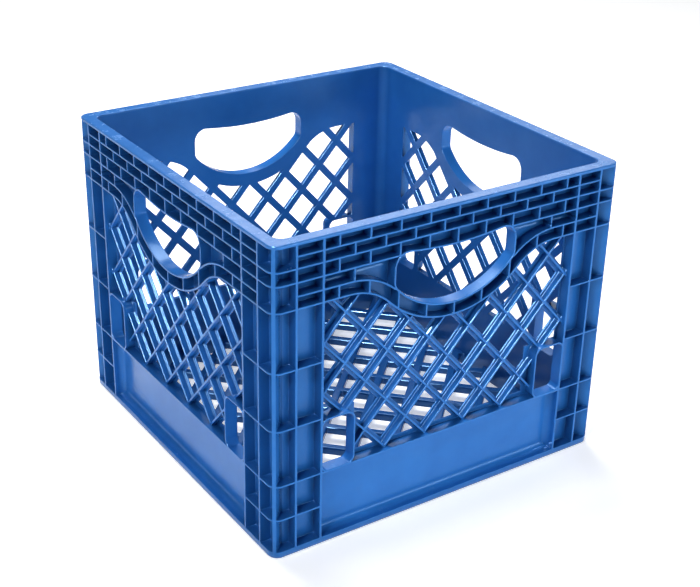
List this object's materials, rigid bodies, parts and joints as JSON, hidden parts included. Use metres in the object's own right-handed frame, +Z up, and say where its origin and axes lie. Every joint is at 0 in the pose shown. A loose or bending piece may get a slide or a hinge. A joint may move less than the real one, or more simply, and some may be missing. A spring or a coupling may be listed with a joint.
{
  "type": "milk bottle crate",
  "caption": "Square stacking crate for milk bottles with brick-pattern and lattice walls, a hand hole in each side, corner posts and an open diagonal grid floor.",
  "frame": {"origin": "centre of the crate's underside, on the surface it stands on", "axes": "+Z up; the four equal walls face -Y (front), +X (right), +Y (back) and -X (left)"},
  "size_m": [0.33, 0.33, 0.267],
  "materials": {
    "hdpe_blue": "semi-gloss moulded polyethylene",
    "hdpe_rim": "moulded polyethylene, dulled and scuffed by stacking"
  },
  "bodies": {
    "root": {"top_rim": "hdpe_rim", "base_ring": "hdpe_rim", "floor_grid": "hdpe_blue", "front_left_post": "hdpe_blue", "front_right_post": "hdpe_blue", "back_right_post": "hdpe_blue", "back_left_post": "hdpe_blue", "front_brick_band": "hdpe_blue", "right_brick_band": "hdpe_blue", "back_brick_band": "hdpe_blue", "left_brick_band": "hdpe_blue", "front_handle_frame": "hdpe_blue", "right_handle_frame": "hdpe_blue", "back_handle_frame": "hdpe_blue", "left_handle_frame": "hdpe_blue", "front_lattice": "hdpe_blue", "right_lattice": "hdpe_blue", "back_lattice": "hdpe_blue", "left_lattice": "hdpe_blue", "front_skirt": "hdpe_blue", "right_skirt": "hdpe_blue", "back_skirt": "hdpe_blue", "left_skirt": "hdpe_blue"}
  },
  "joints": []
}
